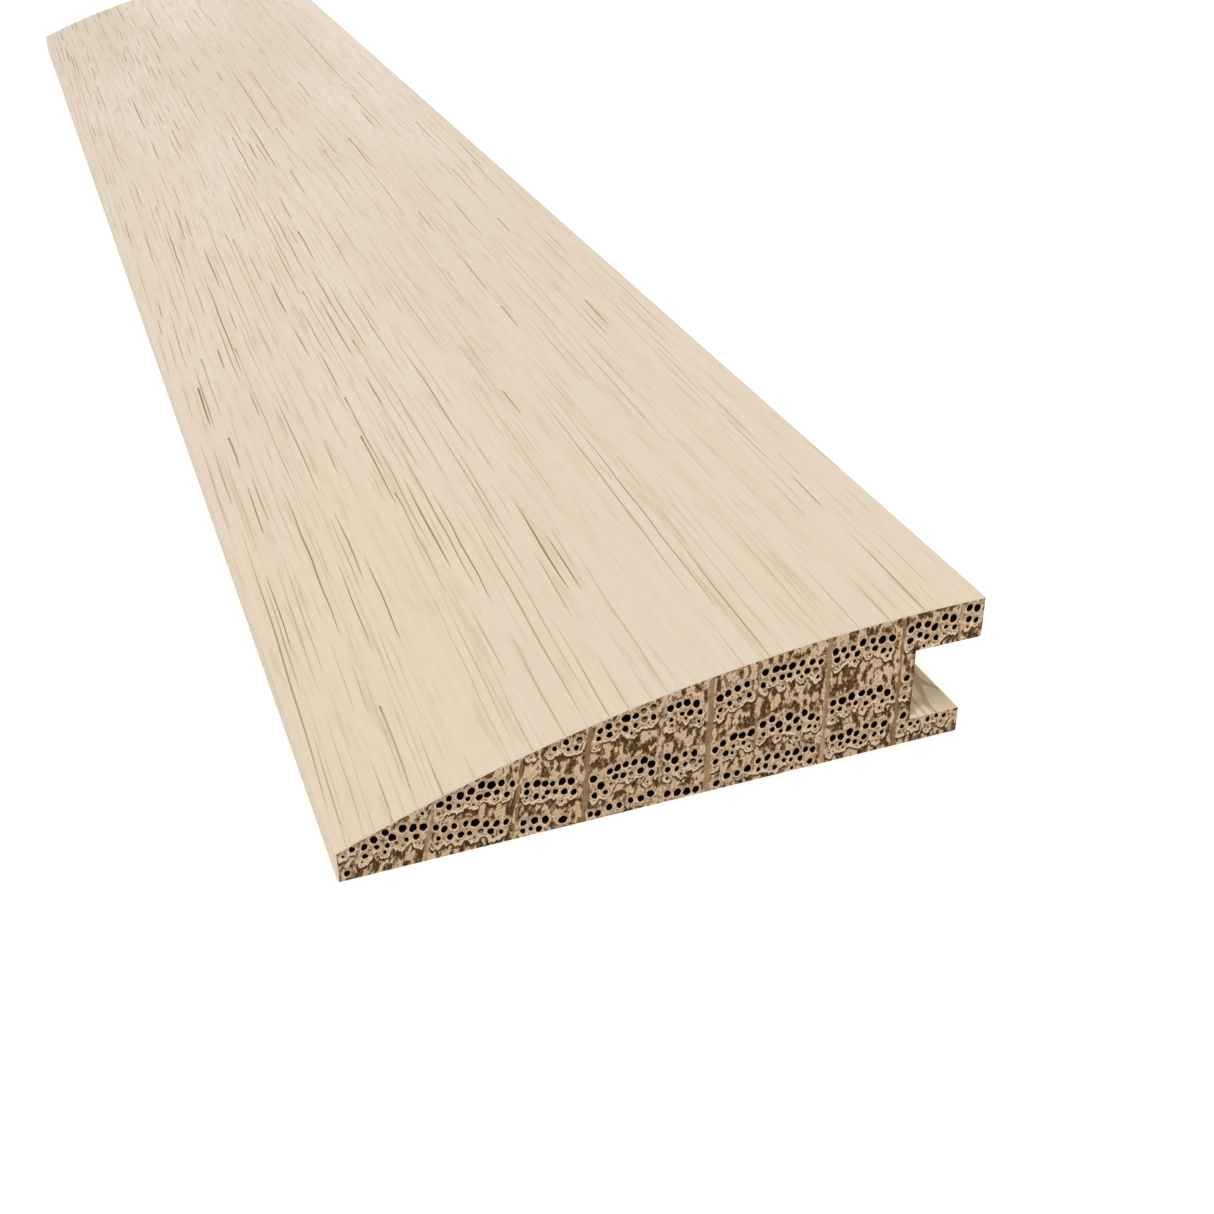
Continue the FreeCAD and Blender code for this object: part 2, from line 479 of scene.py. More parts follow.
def ground_points(growth):
    """Jittered points over the section, clear of its sides and of the pores' loops."""
    points = []
    rows = int(section.top / GROUND_STEP)
    columns = int((section.right - section.left) / GROUND_STEP)
    for i in range(columns + 1):
        for j in range(rows + 1):
            x = section.left + (i + growth.random.uniform(0.2, 0.8)) * GROUND_STEP
            z = (j + growth.random.uniform(0.2, 0.8)) * GROUND_STEP
            if x >= section.right or z >= section.height(x, section.film):
                continue
            if border_gap(x, z) < EDGE_SHARE * GROUND_STEP:
                continue
            if growth.nearest_pore(x, z)[0] > RIM_WIDTH + GROUND_CLEARANCE:
                points.append((x, z))
    return points


def mean_point(points):
    """The middle of some flat points."""
    return sum(u for u, _ in points) / len(points), sum(v for _, v in points) / len(points)


def rim_key(x, z):
    """A point of the section as a key, for telling which points are on its outline."""
    return round(x, 6), round(z, 6)


def add_end(shell, y, inward, seed, drift):
    """One sawn end. inward is +1 where the wood lies on its +Y side, else -1."""
    growth = Growth(seed, drift)
    loops = []
    for pore in growth.pores:
        loops += [pore.loop(RIM_WIDTH), pore.loop(0.0), pore.loop(-PIT_SHARE * pore.radius)]
    centres = [(pore.x, pore.z) for pore in growth.pores]
    outline = oak_outline()
    loops = [loop for loop in loops if all(border_gap(x, z) > ARRIS_CLEARANCE for x, z in loop)]
    places, triangles = triangulate(outline, loops, [], centres + ground_points(growth))
    triangles = [t for t in triangles if border_gap(*mean_point([places[i] for i in t])) > 0]
    rim = {rim_key(*point) for point in outline}
    points = []
    values = {name: [] for name in END_LAYERS}
    for x, z in places:
        depth, found = end_relief(growth, x, z)
        if rim_key(x, z) in rim:
            depth = 0.0
        points.append((x, y + inward * depth, z))
        for name in END_LAYERS:
            values[name].append(found[name])
    shell.add(points, triangles, flip=inward < 0, slot=1, **values)
    print(f"end at {y:.1f}: {len(growth.pores)} pores, {len(triangles)} triangles")


# ---------------- long faces with pore grooves

GRAIN_LAYERS = ("groove", "tone", "olive")
GRAIN_LEAN = 0.026      # how far the grain leans across, per length, at the near end
GRAIN_EASE = 0.008      # and how much of that lean is gone by the far end
GRAIN_WAVE = 0.55       # how far slow waves carry it aside
LANE_PITCH = (0.35, 1.10)   # streaks lie in lanes this far apart
LANE_GAP = (0.6, 4.5)       # and this far apart in a lane
LANE_LEAD = 30.0        # a lane's first streak may start this far before the near end
LANE_SPARE = 1.0        # lanes start and stop this far outside the face
GRAIN_SQUEEZE = 1 / 14  # long grain is triangulated with its length drawn this much shorter
GRAIN_MARGIN = 0.07     # grooves keep this far from a face's sides and ends
STREAK_STEP = 3.0       # from one station of a streak to the next
SHORTEST_STREAK = 3.5
LENGTH_SPREAD = 0.55    # the spread of the streaks' lengths, in natural logarithms
STRENGTH_SHAPE = (2.0, 3.4)     # the beta distribution of how dark they are
STREAK_CLEARANCE = 0.3  # plain points keep this far from a streak, in the squeezed drawing
OLIVE_LENGTH = 7.0      # how far an olive stain reaches back from the head
OLIVE_WIDTH = 0.10      # and how much wider it makes the groove there
OLIVE_STRENGTH = 0.45   # an olive streak is at least this strong
HEAD_REACHES = (1.3, 0.6, 0.15)     # closer stations at an olive streak's blunt head
SHOULDER = 0.65         # where an olive streak's shoulder lies between its centre and its rim
SHOULDER_DEPTH = 0.1    # and how deep it is there, by the groove's depth


def flow(x, y):
    """How far the grain that starts at x has drifted across by y: a gentle lean and slow waves."""
    along = y - section.near
    length = section.far - section.near
    lean = along * (GRAIN_LEAN - GRAIN_EASE * along / length)
    return lean + GRAIN_WAVE * noise.noise(Vector((x * 0.04, along * 0.016, 7.0)))


class Streak:
    """One pore cut along its length: a slim groove with a centre line and a rim.

    Its values are, by flat point, how near the groove's middle it is, how dark the groove is, and
    how olive. An olive one starts as a dark pit at its far end, with a stained shoulder behind.
    """

    def __init__(self, chance, lane, y, length, half_width, strength, olive):
        self.length = length
        self.half_width = half_width
        self.strength = strength
        self.olive = olive
        self.values = {}
        self.centre = []
        sway = chance.uniform(0.02, 0.06)
        turns = math.tau * length / chance.uniform(9.0, 20.0)
        start = chance.uniform(0.0, math.tau)
        shares = self.stations(y)
        right, left, shoulder_right, shoulder_left = [], [], [], []
        for i, share in enumerate(shares):
            along = y + length * share
            across = lane + flow(lane, along) + sway * math.sin(start + turns * share)
            half, tone, stain = self.look(share)
            self.centre.append((across, along))
            if share in (0.0, 1.0):
                self.keep(across, along, 0.0, tone, 0.0)
                continue
            self.keep(across, along, 1.0, tone, stain)
            right.append(self.keep(across + half, along, 0.0, tone, 0.0))
            left.append(self.keep(across - half, along, 0.0, tone, 0.0))
            if olive and 0 < i < len(shares) - 1:
                out = SHOULDER * half
                shoulder_right.append(self.keep(across + out, along, SHOULDER_DEPTH, tone, stain))
                shoulder_left.append(self.keep(across - out, along, SHOULDER_DEPTH, tone, stain))
        self.rim = [self.centre[0]] + right + [self.centre[-1]] + left[::-1]
        self.valleys = [self.centre[1:-1]]
        if olive:
            self.valleys += [shoulder_right, shoulder_left]

    def stations(self, y):
        """Where the streak's points lie, by share of its length, cut off at the strip's ends."""
        first = max(0.0, (section.near + GRAIN_MARGIN - y) / self.length)
        last = min(1.0, (section.far - GRAIN_MARGIN - y) / self.length)
        steps = max(4, round(self.length * (last - first) / STREAK_STEP))
        shares = even(first, last, steps)
        if self.olive and last == 1.0:
            shares[-1:] = [1 - reach / self.length for reach in HEAD_REACHES] + [1.0]
        return shares

    def look(self, share):
        """Half width, darkness and stain at a station: slim tips, and an olive one's broad head."""
        stain = math.exp(-self.length * (1 - share) / OLIVE_LENGTH) if self.olive else 0.0
        half = self.half_width * math.sin(math.pi * min(0.94, max(0.06, share))) ** 0.5
        half += OLIVE_WIDTH * stain
        fade = math.sin(math.pi * min(0.90, 0.15 + 0.85 * share)) ** 0.5
        return half, min(1.0, self.strength * (fade + 0.8 * stain ** 6)), stain

    def keep(self, across, along, middle, tone, olive):
        """Record a flat point's values and return the point."""
        self.values[grain_key(across, along)] = (middle, tone, olive)
        return across, along

    def inside(self, low, high):
        """True if the groove lies clear of a lengthwise strip's sides."""
        return all(low + GRAIN_MARGIN < x < high - GRAIN_MARGIN for x, _ in self.rim)


def grain_key(x, y):
    """A flat point as a dictionary key, for finding a streak's values again."""
    return round(x, 5), round(y, 5)


def lay_streaks(chance, low, high, density, kind):
    """Streaks in lanes that follow the grain, more and stronger where density(x, y) is high."""
    streaks = []
    lane = low - flow(high, section.far) - LANE_SPARE
    while lane < high + LANE_SPARE:
        y = section.near + chance.uniform(-LANE_LEAD, 0.0)
        while y < section.far - SHORTEST_STREAK:
            length = chance.lognormvariate(math.log(kind.length), LENGTH_SPREAD)
            length = min(kind.longest, max(SHORTEST_STREAK, length))
            busy = density(lane + flow(lane, y), y + length / 2)
            drawn = chance.random() < busy and y + length > section.near + SHORTEST_STREAK
            half_width = kind.half_width * chance.uniform(0.75, 1.3) * min(1.0, length / 10) ** 0.4
            strength = chance.betavariate(*STRENGTH_SHAPE) * (0.45 + 0.6 * busy)
            olive = chance.random() < kind.olive_share
            if olive:
                strength = max(strength, OLIVE_STRENGTH)
            if drawn:
                streak = Streak(chance, lane, y, length, half_width, min(1.0, strength), olive)
                if streak.inside(low, high):
                    streaks.append(streak)
            y += length + chance.uniform(*LANE_GAP)
        lane += chance.uniform(*LANE_PITCH)
    return streaks


class StreakIndex:
    """Tells whether a flat point lies on or right beside a streak."""

    def __init__(self, streaks):
        centres = [point for streak in streaks for point in streak.centre]
        self.tree = kdtree.KDTree(len(centres))
        for i, (x, y) in enumerate(centres):
            self.tree.insert((x, y * GRAIN_SQUEEZE, 0.0), i)
        self.tree.balance()
        self.empty = not centres

    def near(self, x, y):
        """True if a streak's centre line has a point close by."""
        return not self.empty and self.tree.find((x, y * GRAIN_SQUEEZE, 0.0))[2] < STREAK_CLEARANCE


def grain_patch(shell, columns, streaks, place, depth, flip=False):
    """A lengthwise face of the strip with its pore grooves, at most this deep.

    The face is drawn flat, across over the columns and along Y. place(across, y, sink) puts a flat
    point on the solid, sunk below the surface.
    """
    border = ([(x, section.near) for x in columns]
              + [(columns[-1], y) for y in LENGTH_ROWS[1:]]
              + [(x, section.far) for x in columns[-2::-1]]
              + [(columns[0], y) for y in LENGTH_ROWS[-2:0:-1]])
    covered = StreakIndex(streaks)
    fill = []
    for i, x in enumerate(columns[1:-1:2]):
        fill += [(x, y) for y in LENGTH_ROWS[1 + i % 2:-1:2] if not covered.near(x, y)]
    valleys = [valley for streak in streaks for valley in streak.valleys]
    places, triangles = triangulate(border, [s.rim for s in streaks], valleys, fill, GRAIN_SQUEEZE)
    values = {}
    for streak in streaks:
        values.update(streak.values)
    points, layers = [], {name: [] for name in GRAIN_LAYERS}
    for x, y in places:
        middle, tone, olive = values.get(grain_key(x, y), (0.0, 0.0, 0.0))
        points.append(place(x, y, depth * middle * (0.4 + 0.6 * tone)))
        for name, value in zip(GRAIN_LAYERS, (middle, tone, olive)):
            layers[name].append(value)
    shell.add(points, triangles, flip, **layers)


def full_length(x, z):
    """A row of points along the whole strip."""
    return [(x, y, z) for y in LENGTH_ROWS]


def strip_between(shell, first, second, flip=False):
    """A band of four-sided faces between two rows of points."""
    count = len(first)
    faces = [(i, i + 1, count + i + 1, count + i) for i in range(count - 1)]
    shell.add(first + second, faces, flip)


# ---------------- the film and the wood

def film_density(x, y):
    """Streaks crowd where the pore rings come out on the ramp, and thin out towards the lip."""
    across = x - section.left
    slope = 0.86 - 0.34 * smoothstep(16.0, 38.0, across)
    patch = 0.50 * noise.noise(Vector((across * 0.16, y * 0.014, 3.0)))
    return min(0.95, max(0.08, slope + patch))


StreakKind = namedtuple("StreakKind", "length longest half_width olive_share")
FILM_STREAKS = StreakKind(19.0, 80.0, 0.105, 0.06)
RAW_STREAKS = StreakKind(7.0, 26.0, 0.09, 0.0)
NOSE_DENSITY = 0.6
RAW_DENSITY = 0.30
FILM_GROOVE = 0.04      # the deepest grooves
RAW_GROOVE = 0.09
NOSE_STEPS = 3
FILM_SEED = 41
WOOD_SEED = 97
NEAR_END_SEED = 5
FAR_END_SEED = 17
FAR_END_DRIFT = -0.8    # how far the rays have moved across by the far end


def film_path(inset):
    """The film's section line from the foot of the nose to the lip edge, at a depth in the film."""
    left = section.left + inset
    nose = even(0.0, section.height(left, inset), NOSE_STEPS)
    return [(left, z) for z in nose[:-1]] + [(x, section.height(x, inset)) for x in show_columns(inset)]


def make_film(material):
    """The cured coat: its pored outside, its smooth inside against the wood, and its thin edges."""
    chance = random.Random(FILM_SEED)
    shell = Shell(GRAIN_LAYERS)

    def on_ramp(x, y, sink):
        lean = section.slope(x)
        return (x + sink * math.sin(lean), y, section.height(x) - sink * math.cos(lean))

    def on_nose(z, y, sink):
        return (section.left + sink, y, z)

    top = lay_streaks(chance, section.left, section.right, film_density, FILM_STREAKS)
    grain_patch(shell, show_columns(0.0), top, on_ramp, FILM_GROOVE)
    nose = lay_streaks(chance, 0.0, section.nose_top, lambda x, y: NOSE_DENSITY, FILM_STREAKS)
    rows = even(0.0, section.nose_top, NOSE_STEPS)
    grain_patch(shell, rows, nose, on_nose, FILM_GROOVE, flip=True)

    outer_path = film_path(0.0)
    inner_path = film_path(section.film)
    for here, there in zip(inner_path, inner_path[1:]):
        strip_between(shell, full_length(*here), full_length(*there))
    for y, flip in ((section.near, False), (section.far, True)):
        inner_rim = [(x, y, z) for x, z in inner_path]
        outer_rim = [(x, y, z) for x, z in outer_path]
        strip_between(shell, inner_rim, outer_rim, flip)
    for at, flip in ((0, True), (-1, False)):
        strip_between(shell, full_length(*inner_path[at]), full_length(*outer_path[at]), flip)
    print(f"film: {len(top)} streaks on top, {len(nose)} on the nose")
    return shell.build("face_finish_coat", [material], math.radians(40))


def add_raw_face(shell, chance, run):
    """The raw planed face over one straight run of the wood's outline."""
    (x0, z0), (x1, z1) = run[0], run[-1]
    length = math.hypot(x1 - x0, z1 - z0)
    ax, az = (x1 - x0) / length, (z1 - z0) / length
    columns = [math.hypot(x - x0, z - z0) for x, z in run]

    def place(across, y, sink):
        return (x0 + ax * across - az * sink, y, z0 + az * across + ax * sink)

    streaks = lay_streaks(chance, 0.0, length, lambda x, y: RAW_DENSITY, RAW_STREAKS)
    grain_patch(shell, columns, streaks, place, RAW_GROOVE, flip=True)


def make_oak(long_grain, end_grain):
    """The wood: two sawn ends, raw planed faces, and the plain face under the film."""
    chance = random.Random(WOOD_SEED)
    shell = Shell(END_LAYERS + GRAIN_LAYERS)
    outline = oak_outline()
    stops = [outline.index(corner) for corner in oak_corners()]
    add_end(shell, section.near, 1, NEAR_END_SEED, 0.0)
    add_end(shell, section.far, -1, FAR_END_SEED, FAR_END_DRIFT)
    for start, stop in zip(stops, stops[1:]):
        add_raw_face(shell, chance, outline[start:stop + 1])
    under_film = outline[stops[-1]:] + outline[:1]
    for here, there in zip(under_film, under_film[1:]):
        strip_between(shell, full_length(*here), full_length(*there))
    return shell.build("oak_moulding_wood", [long_grain, end_grain], math.radians(50))


# ---------------- materials

class Graph:
    """Short calls for building one node material. Its coordinates are in millimetres."""

    def __init__(self, name):
        self.material = bpy.data.materials.new(name)
        self.material.use_nodes = True
        self.tree = self.material.node_tree
        self.tree.nodes.clear()
        output = self.tree.nodes.new("ShaderNodeOutputMaterial")
        self.shader = self.tree.nodes.new("ShaderNodeBsdfPrincipled")
        self.tree.links.new(self.shader.outputs[0], output.inputs[0])
        scale = self.tree.nodes.new("ShaderNodeVectorMath")
        scale.operation = "SCALE"
        scale.inputs["Scale"].default_value = 1 / MM
        self.feed(scale.inputs[0], self.tree.nodes.new("ShaderNodeTexCoord").outputs["Object"])
        self.place = scale.outputs[0]

    def feed(self, socket, value):
        """Link a node's output to a socket, or set the socket to a plain value."""
        if isinstance(value, bpy.types.NodeSocket):
            self.tree.links.new(value, socket)
        else:
            socket.default_value = value

    def attribute(self, name):
        """A layer of values stored in the mesh with the relief."""
        node = self.tree.nodes.new("ShaderNodeAttribute")
        node.attribute_name = name
        return node.outputs["Fac"]

    def axis(self, name):
        """The shaded point's X, Y or Z."""
        node = self.tree.nodes.new("ShaderNodeSeparateXYZ")
        self.feed(node.inputs[0], self.place)
        return node.outputs[name]

    def vector(self, x, y, z):
        """Coordinates from three values."""
        node = self.tree.nodes.new("ShaderNodeCombineXYZ")
        for socket, value in zip(node.inputs, (x, y, z)):
            self.feed(socket, value)
        return node.outputs[0]

    def maths(self, operation, *values):
        """One operation of the Math node."""
        node = self.tree.nodes.new("ShaderNodeMath")
        node.operation = operation
        for socket, value in zip(node.inputs, values):
            self.feed(socket, value)
        return node.outputs[0]

    def span(self, value, low, high, to_low=0.0, to_high=1.0, smooth=True):
        """A value's place from low to high, as a place from to_low to to_high."""
        node = self.tree.nodes.new("ShaderNodeMapRange")
        node.interpolation_type = "SMOOTHSTEP" if smooth else "LINEAR"
        for socket, v in zip(node.inputs, (value, low, high, to_low, to_high)):
            self.feed(socket, v)
        return node.outputs[0]

    def scaled(self, size, place, shift):
        """Coordinates in which size is one unit each way."""
        mapping = self.tree.nodes.new("ShaderNodeMapping")
        mapping.inputs["Scale"].default_value = [1 / s for s in size]
        mapping.inputs["Location"].default_value = shift
        self.feed(mapping.inputs["Vector"], place or self.place)
        return mapping.outputs[0]

    def noise(self, size, detail=3.0, rough=0.55, shift=(0.0, 0.0, 0.0), place=None):
        """Noise whose cells are size = (x, y, z) across."""
        node = self.tree.nodes.new("ShaderNodeTexNoise")
        node.inputs["Scale"].default_value = 1.0
        node.inputs["Detail"].default_value = detail
        node.inputs["Roughness"].default_value = rough
        self.feed(node.inputs["Vector"], self.scaled(size, place, shift))
        return node.outputs["Fac"]

    def frayed(self, value, noise, size):
        """A value that noise shifts by up to size either way."""
        return self.maths("ADD", value, self.span(noise, 0.3, 0.7, -size, size, smooth=False))

    def band(self, value, middle, inner, outer, strength=1.0):
        """Full strength where a value is within inner of the middle, and 0 beyond outer."""
        gap = self.maths("ABSOLUTE", self.maths("SUBTRACT", value, middle))
        return self.span(gap, inner, outer, strength, 0.0)

    def ridges(self, size, width, shift=(0.0, 0.0, 0.0)):
        """Winding crest lines: 1 on a crest, falling to 0 on both sides."""
        return self.band(self.noise(size, 1.0, 0.5, shift), 0.5, 0.3 * width, width)

    def pore_lines(self, darkest):
        """How dark the pore grooves make a long face: full strength where the tone is darkest."""
        line = self.span(self.attribute("groove"), 0.0, 0.6)
        tone = self.span(self.attribute("tone"), 0.0, darkest, 0.0, 0.95, smooth=False)
        return self.maths("MULTIPLY", line, tone)

    def blend(self, share, first, second):
        """The first colour with a share of the second mixed in."""
        node = self.tree.nodes.new("ShaderNodeMix")
        node.data_type = "RGBA"
        self.feed(node.inputs["Factor"], share)
        self.feed(node.inputs["A"], first)
        self.feed(node.inputs["B"], second)
        return node.outputs["Result"]

    def ramp(self, value, stops):
        """The colour at a value from 0 to 1, given stops of (value, colour)."""
        node = self.tree.nodes.new("ShaderNodeValToRGB")
        elements = node.color_ramp.elements
        while len(elements) < len(stops):
            elements.new(0.5)
        for element, (position, tone) in zip(elements, stops):
            element.position = position
            element.color = tone
        self.feed(node.inputs["Fac"], value)
        return node.outputs["Color"]

    def surface(self, tone, roughness, specular):
        """Set how the surface looks."""
        self.feed(self.shader.inputs["Base Color"], tone)
        self.feed(self.shader.inputs["Roughness"], roughness)
        self.feed(self.shader.inputs["Specular IOR Level"], specular)

    def bump(self, height, distance):
        """Fine relief in the shading only."""
        node = self.tree.nodes.new("ShaderNodeBump")
        node.inputs["Distance"].default_value = distance * MM
        self.feed(node.inputs["Height"], height)
        self.feed(self.shader.inputs["Normal"], node.outputs[0])


def colour(red, green, blue):
    """An sRGB colour given in 0 to 255, as the linear values that nodes take."""
    def linear(channel):
        c = channel / 255
        return c / 12.92 if c <= 0.04045 else ((c + 0.055) / 1.055) ** 2.4
    return (linear(red), linear(green), linear(blue), 1.0)


def finish_material():
    """Whitewashed matt lacquer over oak: cream ground, soft blotches and grey-brown pore lines."""
    g = Graph("whitewashed_oak_finish")
    blotch = g.noise((17.0, 52.0, 17.0), detail=2.0)
    warm = g.noise((24.0, 90.0, 24.0), detail=1.0, shift=(4.0, 1.0, 0.0))
    mottle = g.noise((0.8, 2.4, 0.8), detail=3.0, shift=(3.0, 6.0, 2.0))
    fibre = g.noise((0.30, 20.0, 0.30), detail=3.0)
    smear = g.noise((0.60, 11.0, 0.60), detail=2.0, shift=(7.0, 0.0, 2.0))
    band = g.noise((1.30, 70.0, 1.30), detail=2.0, shift=(1.0, 3.0, 5.0))
    along = g.span(g.axis("Y"), section.near, section.far, smooth=False)
    ground = g.blend(along, colour(217, 201, 178), colour(228, 216, 203))
    ground = g.blend(g.span(blotch, 0.38, 0.62, 0.0, 0.8), ground, colour(216, 201, 180))
    ground = g.blend(g.span(warm, 0.48, 0.70, 0.0, 0.55), ground, colour(221, 203, 177))
    ground = g.blend(g.span(mottle, 0.40, 0.62, 0.0, 0.22), ground, colour(208, 192, 170))
    ground = g.blend(g.span(fibre, 0.35, 0.75, 0.0, 0.16), ground, colour(196, 178, 152))
    ground = g.blend(g.span(smear, 0.53, 0.73, 0.0, 0.36), ground, colour(186, 166, 136))
    ground = g.blend(g.span(band, 0.46, 0.68, 0.0, 0.24), ground, colour(206, 186, 154))
    olive = g.attribute("olive")
    ground = g.blend(g.maths("MULTIPLY", olive, 0.7), ground, colour(190, 179, 122))
    line_tone = g.span(g.attribute("tone"), 0.1, 0.7)
    line_colour = g.blend(line_tone, colour(180, 150, 104), colour(146, 118, 76))
    line_colour = g.blend(olive, line_colour, colour(104, 88, 44))
    ground = g.blend(g.pore_lines(0.72), ground, line_colour)
    g.surface(ground, g.span(fibre, 0.2, 0.8, 0.48, 0.62), 0.30)
    g.bump(fibre, 0.010)
    return g.material


def paint_flames(g, light, small):
    """The wood's own colours: dark wood, and light flames that are palest at their edges."""
    wood = g.ramp(g.span(light, -1.0, 1.0, smooth=False), [
        (0.10, colour(104, 73, 44)), (0.36, colour(96, 66, 39)), (0.44, colour(66, 42, 23)),
        (0.50, colour(144, 113, 81)), (0.55, colour(216, 188, 155)), (0.66, colour(184, 155, 123)),
        (0.90, colour(202, 173, 140))])
    wood = g.blend(g.span(small, 0.45, 0.34, 0.0, 0.20), wood, colour(92, 65, 41))
    return g.blend(g.span(small, 0.54, 0.68, 0.0, 0.22), wood, colour(228, 200, 167))


def paint_net(g, wood, rough_gap, small):
    """The pale net of wood between the pores."""
    net = g.blend(g.span(small, 0.38, 0.56), colour(130, 99, 70), colour(212, 183, 151))
    return g.blend(g.span(rough_gap, 0.22, 0.32, 0.80, 0.0), wood, net)


def paint_scallops(g, wood, tall):
    """Pale scallops under the lower pores, each with a painted shadow beneath it. Also returns their
    height.
    """
    below = g.maths("MULTIPLY", g.span(g.attribute("pore_up"), -0.3, -1.0),
                    g.span(g.attribute("phase"), 0.14, 0.26))
    gap = g.frayed(g.attribute("pore_gap"), tall, 0.16)
    # shadow is a painted shadow: a dark band under each scallop, as if it stood proud in light from
    # above.
    shadow = g.maths("MULTIPLY", g.band(gap, 0.50, 0.08, 0.18, 0.85), below)
    scallop = g.maths("MULTIPLY", g.band(gap, 0.29, 0.07, 0.14, 0.90), below)
    wood = g.blend(shadow, wood, colour(62, 41, 24))
    wood = g.blend(scallop, wood, colour(234, 206, 174))
    return wood, g.maths("SUBTRACT", scallop, shadow)


def paint_rays(g, wood, flat, tall):
    """The broad rays: brown ribbons with a fine grain along them."""
    edge = g.frayed(g.attribute("ray_gap"), tall, 0.08)
    tone = g.noise((5.0, 1.0, 30.0), detail=1.0, place=flat)
    grain = g.noise((0.13, 1.0, 1.60), detail=2.0, shift=(1.0, 0.0, 4.0), place=flat)
    ray = g.blend(g.span(tone, 0.38, 0.62), colour(142, 111, 80), colour(188, 160, 127))
    ray = g.blend(g.span(grain, 0.45, 0.62, 0.0, 0.50), ray, colour(120, 91, 64))
    return g.blend(g.span(edge, -0.12, 0.00, 0.90, 0.0), wood, ray)


def paint_pores(g, wood, rough_gap, small):
    """The pores: rims with a painted highlight below, and hollows in painted shade: open ones black
    with painted light low on the wall, plugged ones with a painted shade crescent above the plug.
    """
    up = g.attribute("pore_up")
    # Painted highlight: a rim is paler on its lower side, as if lit from above.
    rim = g.blend(g.span(up, 0.9, -0.9), colour(184, 155, 123), colour(244, 216, 184))
    rim = g.blend(g.span(small, 0.56, 0.40, 0.0, 0.55), rim, colour(166, 136, 104))
    wood = g.blend(g.span(rough_gap, 0.08, 0.15, 0.95, 0.0), wood, rim)
    # Painted light and shade in the hollows: an open pore is black as the shade deep in it, with
    # painted light on its lower wall; a plugged pore is dark above its plug as painted shade.
    painted_wall_light = g.maths("MULTIPLY", g.span(up, -0.45, -0.95, 0.0, 0.45), g.span(small, 0.4, 0.6))
    open_pore = g.blend(painted_wall_light, colour(5, 3, 2), colour(92, 66, 44))
    filled_pore = g.blend(g.span(up, -0.5, 0.3), colour(150, 121, 91), colour(24, 15, 9))
    hollow = g.blend(g.span(g.attribute("pore_fill"), 0.1, 0.5), open_pore, filled_pore)
    return g.blend(g.span(g.attribute("pore_gap"), -0.03, 0.015, 1.0, 0.0), wood, hollow)


def end_grain_material():
    """Sawn oak end grain: open pores in a pale net, brown rays, and light flames in dark wood."""
    g = Graph("sawn_end_grain")
    flat = g.vector(g.attribute("foot"), g.maths("MULTIPLY", g.axis("Y"), 0.05), g.axis("Z"))
    tall = g.noise((0.42, 1.0, 0.85), detail=2.0, rough=0.45, place=flat)
    small = g.noise((0.16, 1.0, 0.19), detail=2.0, shift=(3.0, 0.0, 3.0), place=flat)
    light = g.frayed(g.frayed(g.attribute("flame"), tall, 0.26), small, 0.05)
    rough_gap = g.frayed(g.attribute("pore_gap"), small, 0.05)
    wood = paint_flames(g, light, small)
    wood = paint_net(g, wood, rough_gap, small)
    wood, scallops = paint_scallops(g, wood, tall)
    wood = paint_rays(g, wood, flat, tall)
    wood = paint_pores(g, wood, rough_gap, small)
    g.surface(wood, g.span(small, 0.2, 0.8, 0.72, 0.92), 0.0)
    relief = g.maths("ADD", g.span(light, -0.4, 0.3), g.maths("MULTIPLY", small, 0.9))
    g.bump(g.maths("ADD", relief, g.maths("MULTIPLY", scallops, 0.35)), 0.10)
    return g.material


def long_grain_material():
    """Raw planed oak along the grain: greyish beige with brown figure and dark open pores."""
    g = Graph("raw_planed_oak")
    fibre = g.noise((0.35, 18.0, 0.35), detail=4.0)
    bend = g.noise((4.0, 40.0, 4.0), detail=1.0, shift=(2.0, 5.0, 1.0))
    figure = g.ridges((1.5, 60.0, 1.5), 0.035)
    patch = g.noise((4.0, 70.0, 4.0), detail=2.0)
    wood = g.blend(g.span(patch, 0.38, 0.60), colour(234, 224, 204), colour(212, 193, 165))
    wood = g.blend(g.maths("MULTIPLY", figure, g.span(bend, 0.42, 0.58, 0.0, 0.40)), wood,
                   colour(150, 120, 88))
    curl = g.ridges((3.0, 9.0, 3.0), 0.03, (5.0, 2.0, 3.0))
    near_end = g.span(g.axis("Y"), section.near + 12.0, section.near + 30.0, 0.50, 0.0)
    lower_lip = g.span(g.axis("Z"), section.floor + 0.2, section.floor + 0.6, 1.0, 0.0)
    swirl = g.maths("MULTIPLY", g.maths("MULTIPLY", near_end, lower_lip), curl)
    wood = g.blend(swirl, wood, colour(128, 98, 66))
    wood = g.blend(g.span(fibre, 0.40, 0.75, 0.0, 0.22), wood, colour(150, 124, 94))
    wood = g.blend(g.pore_lines(1.0), wood, colour(62, 45, 31))
    g.surface(wood, g.span(fibre, 0.2, 0.8, 0.62, 0.85), 0.25)
    g.bump(fibre, 0.03)
    return g.material


def floor_material():
    """Plain matt white, lit a little from within as on a light table."""
    g = Graph("pale_floor")
    grain = g.noise((3.0, 3.0, 3.0), detail=2.0)
    g.surface(g.blend(grain, colour(247, 247, 247), colour(250, 250, 250)), 0.9, 0.0)
    g.feed(g.shader.inputs["Emission Color"], (1.0, 1.0, 1.0, 1.0))
    g.feed(g.shader.inputs["Emission Strength"], 0.16)
    return g.material


# ---------------- stage, light and camera

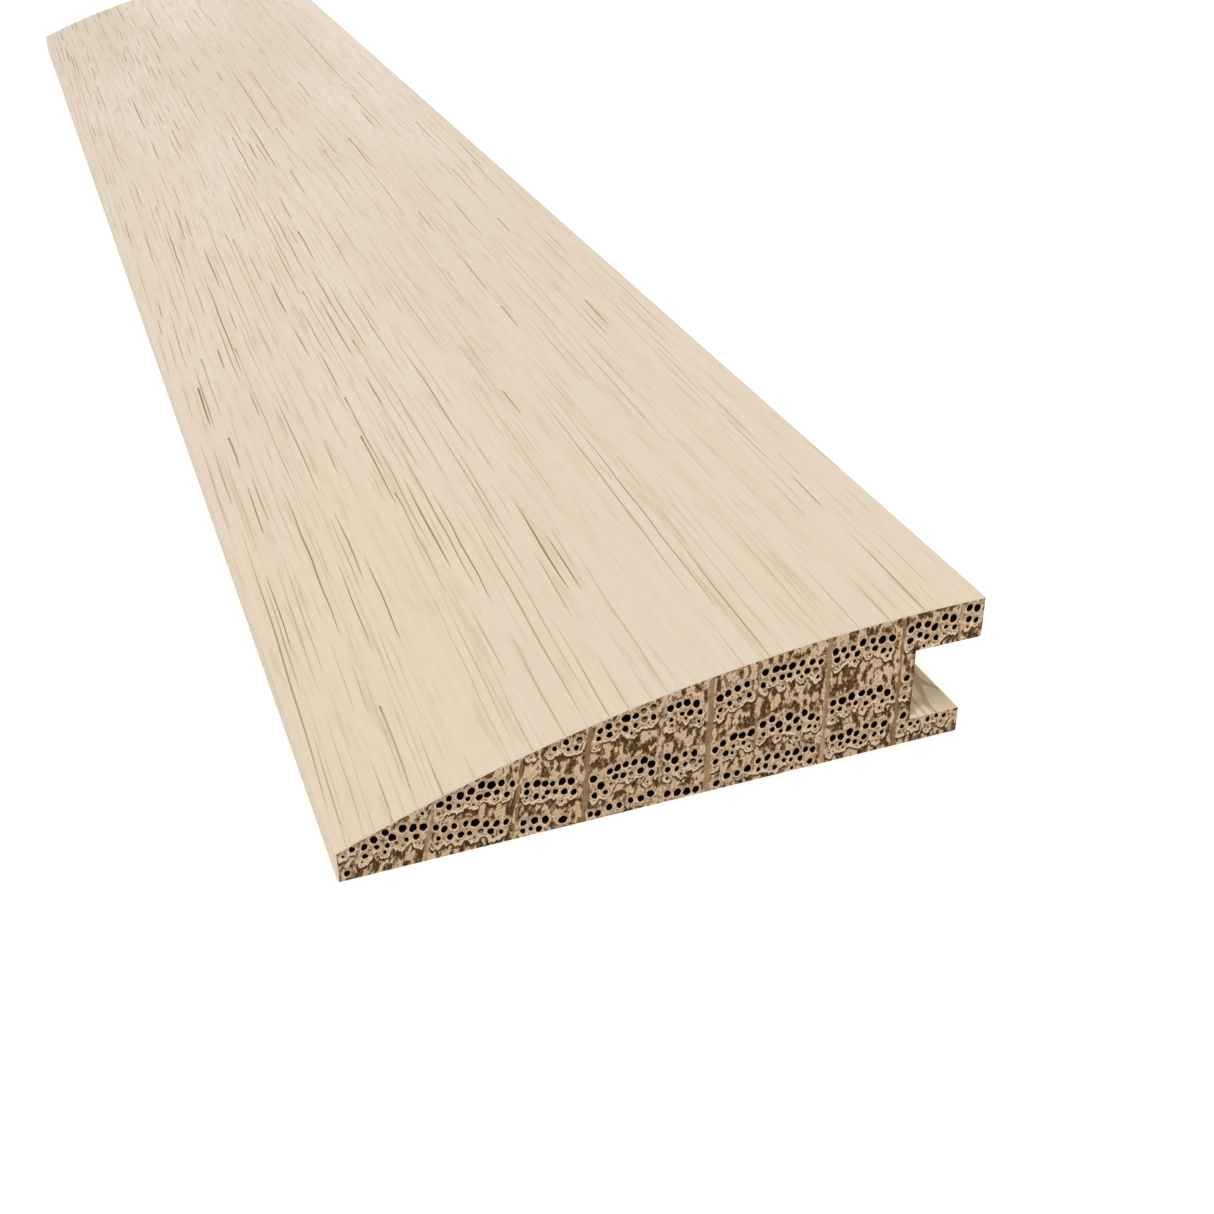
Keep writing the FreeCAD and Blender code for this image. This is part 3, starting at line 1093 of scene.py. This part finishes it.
FLOOR_SIZE = 24.0                           # metres
SURROUND_STRENGTH = 0.68
LAMP_SIZE = 1.2                             # metres
LAMP_POWER = 19.5                           # watts
LAMP_PLACE = Vector((0.0, -0.45, 1.9))      # metres
CAMERA_PLACE = Vector((-12.26, -93.59, 79.53))  # from the foot of the near end's nose
CAMERA_HEADING = 19.936                     # degrees from +Y towards +X
CAMERA_PITCH = -31.262
CAMERA_ROLL = -1.031
CAMERA_LENS = 47.8                          # on a 36 mm sensor


def make_floor():
    """A plain square sheet just under the strip."""
    half = FLOOR_SIZE / 2
    mesh = bpy.data.meshes.new("floor")
    mesh.from_pydata([(-half, -half, 0), (half, -half, 0), (half, half, 0), (-half, half, 0)],
                     [], [(0, 1, 2, 3)])
    mesh.materials.append(floor_material())
    floor = add_object("floor", mesh)
    floor.location.z = cad_box[0].z - 0.01 * MM


def make_light():
    """A white surround with one large soft lamp overhead, a little to the near side."""
    world = bpy.data.worlds.new("surround")
    world.use_nodes = True
    background = world.node_tree.nodes["Background"]
    background.inputs["Color"].default_value = (1.0, 1.0, 1.0, 1.0)
    background.inputs["Strength"].default_value = SURROUND_STRENGTH
    bpy.context.scene.world = world
    lamp = bpy.data.lights.new("key", "AREA")
    lamp.shape = "DISK"
    lamp.size = LAMP_SIZE
    lamp.energy = LAMP_POWER
    key = add_object("key", lamp)
    key.location = LAMP_PLACE
    key.rotation_euler = (-LAMP_PLACE).to_track_quat("-Z", "Y").to_euler()


def make_camera():
    """A view from above the nose side of the near end, looking along the strip."""
    data = bpy.data.cameras.new("camera")
    data.sensor_width = 36.0
    data.lens = CAMERA_LENS
    data.clip_start = 0.005
    data.clip_end = 50.0
    camera = add_object("camera", data)
    foot = Vector((section.left, section.near, 0.0))
    aim = Euler((math.radians(90 + CAMERA_PITCH), 0.0, math.radians(-CAMERA_HEADING))).to_matrix()
    roll = Matrix.Rotation(math.radians(CAMERA_ROLL), 3, "Z")
    camera.matrix_world = Matrix.Translation((foot + CAMERA_PLACE) * MM) @ (aim @ roll).to_4x4()
    bpy.context.scene.camera = camera


# ---------------- put it together

bpy.context.scene.view_settings.view_transform = "Standard"

make_camera()
make_light()
make_floor()

film = make_film(finish_material())
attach(film, "root")
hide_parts("face_finish")

oak = make_oak(long_grain_material(), end_grain_material())
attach(oak, "root")
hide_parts("oak_moulding")
